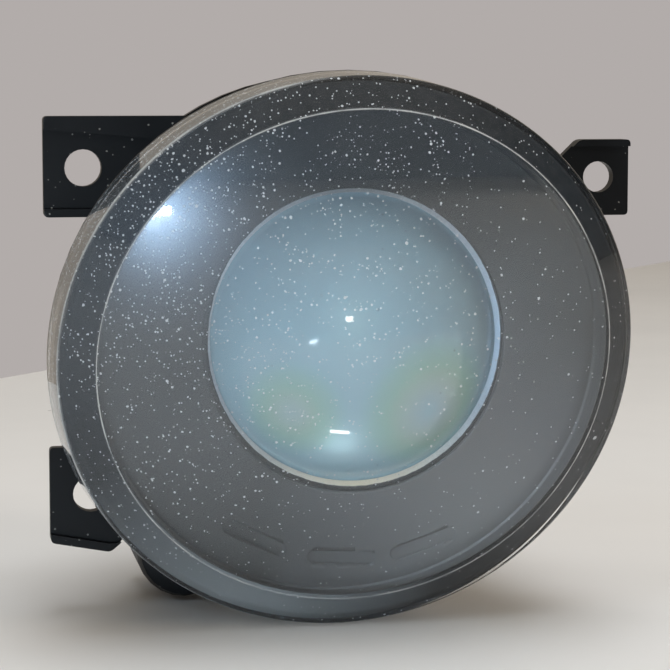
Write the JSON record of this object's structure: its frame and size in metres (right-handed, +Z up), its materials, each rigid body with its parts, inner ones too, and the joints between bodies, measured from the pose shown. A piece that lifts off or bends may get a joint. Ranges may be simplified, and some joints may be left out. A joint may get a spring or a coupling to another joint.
{
  "type": "fog light",
  "caption": "Round projector fog light with a raked clear cover, three screw ears, a tilting projector module, its aiming screw and a bayonet bulb.",
  "frame": {"origin": "where the projector's optical axis crosses the mounting plane, which is the rear face of the three ear bosses", "axes": "-Y along the beam, out of the bumper; +Y into the car; +X outboard; +Z up"},
  "size_m": [0.1213, 0.1206, 0.1089],
  "materials": {
    "black_plastic": "satin",
    "satin_plastic": "satin",
    "clear_cover": "polished",
    "lens_glass": "polished",
    "bulb_glass": "polished",
    "sealant": "matte",
    "rubber": "matte",
    "nylon": "satin",
    "reflector_metal": "mirror",
    "zinc_steel": "zinc plated",
    "cast_alloy": "as cast",
    "wire": "drawn"
  },
  "bodies": {
    "housing": {"housing": "black_plastic", "mounting_frame": "black_plastic", "frame_screw_1": "zinc_steel", "frame_screw_2": "zinc_steel", "frame_screw_3": "zinc_steel", "outer_lens": "clear_cover", "lens_sealant": "sealant", "bezel": "satin_plastic", "pivot_socket_left": "nylon", "pivot_socket_right": "nylon", "rear_gaiter": "rubber", "vent_cap": "rubber"},
    "projector": {"lens_holder": "cast_alloy", "projector_lens": "lens_glass", "lens_retaining_ring": "zinc_steel", "cutoff_shield": "zinc_steel", "reflector": "reflector_metal", "module_screw_1": "zinc_steel", "module_screw_2": "zinc_steel", "module_screw_3": "zinc_steel", "module_screw_4": "zinc_steel", "pivot_stud_left": "zinc_steel", "pivot_stud_right": "zinc_steel", "adjuster_ball_stud": "zinc_steel", "bulb_lock_ring": "zinc_steel"},
    "bulb": {"bulb_base": "black_plastic", "bulb_glass": "bulb_glass", "bulb_filament": "wire", "bulb_oring": "rubber", "bulb_terminal_left": "zinc_steel", "bulb_terminal_right": "zinc_steel"},
    "aiming_screw": {"adjuster_screw": "black_plastic", "adjuster_clip": "zinc_steel", "adjuster_oring": "rubber"},
    "aiming_nut": {"adjuster_nut": "nylon"}
  },
  "joints": [
    {"name": "aim_tilt", "type": "hinge", "parent": "housing", "child": "projector", "pos_m": [0, -0.002, 0], "axis": [1, 0, 0], "range_deg": [-3, 3], "deforming": ["rear_gaiter"]},
    {"name": "bulb_twist", "type": "hinge", "parent": "projector", "child": "bulb", "pos_m": [0, 0.048, 0], "axis": [0, 1, 0], "range_deg": [0, 45]},
    {"name": "nut_travel", "type": "slide", "parent": "housing", "child": "aiming_nut", "axis": [0, 1, 0], "range_m": [-0.0022, 0.0022]},
    {"name": "screw_spin", "type": "hinge", "parent": "housing", "child": "aiming_screw", "pos_m": [-0.0296, 0.03, -0.04683], "axis": [0, 1, 0], "range_deg": [-620, 620]}
  ],
  "couplings": [
    {"joint": "nut_travel", "follows": "aim_tilt", "m_per_rad": 0.04057},
    {"joint": "screw_spin", "follows": "aim_tilt", "ratio": 203.9}
  ]
}
